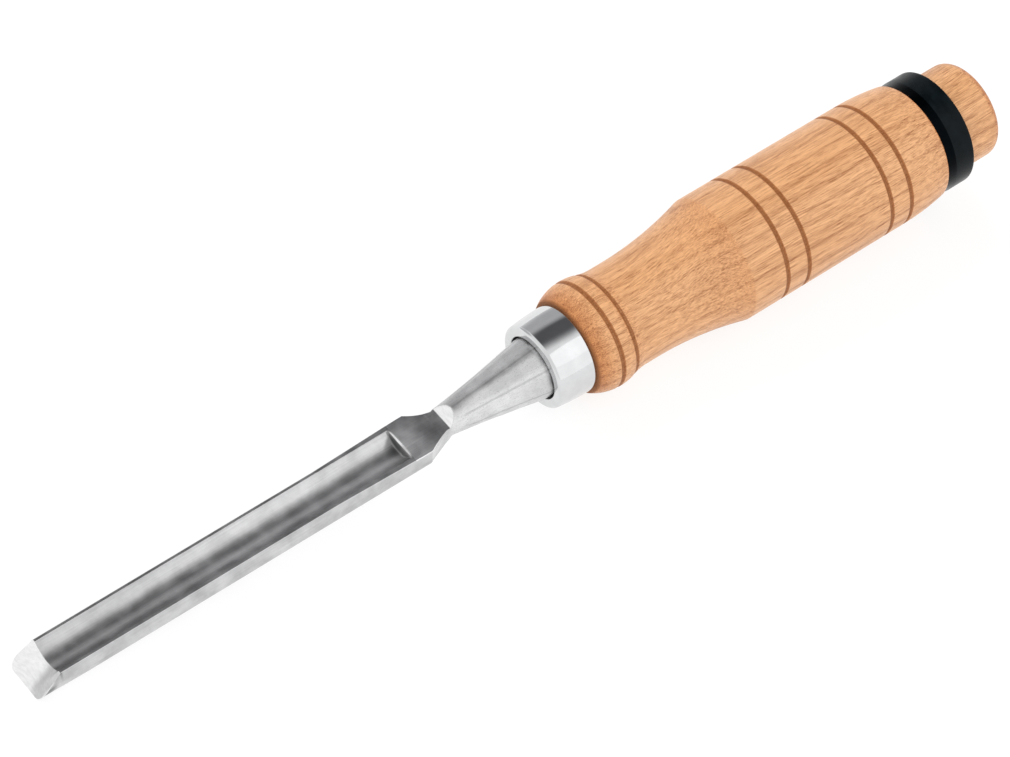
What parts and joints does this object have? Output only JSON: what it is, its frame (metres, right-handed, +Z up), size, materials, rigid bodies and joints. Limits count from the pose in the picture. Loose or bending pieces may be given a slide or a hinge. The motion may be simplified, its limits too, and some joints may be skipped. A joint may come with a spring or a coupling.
{
  "type": "bench chisel",
  "caption": "Wood chisel with a fluted, inside-ground blade, conical bolster, steel ferrule, turned wooden handle and a strike ring near the butt.",
  "frame": {"origin": "under the middle of the tool's box, on the bench it lies on", "axes": "+X from the cutting edge towards the butt, +Z up out of the open side of the flute; the tool's own axis lies in the XZ plane and rises 3.46 degrees towards the butt"},
  "size_m": [0.2754, 0.0326, 0.0356],
  "materials": {
    "blade_steel": "ground and lightly polished",
    "ferrule_chrome": "bright plated",
    "handle_wood": "turned hardwood, satin lacquer, scorched grooves",
    "ring_black": "glossy black"
  },
  "bodies": {
    "root": {"blade": "blade_steel", "ferrule": "ferrule_chrome", "handle": "handle_wood", "strike_ring": "ring_black"}
  },
  "joints": []
}
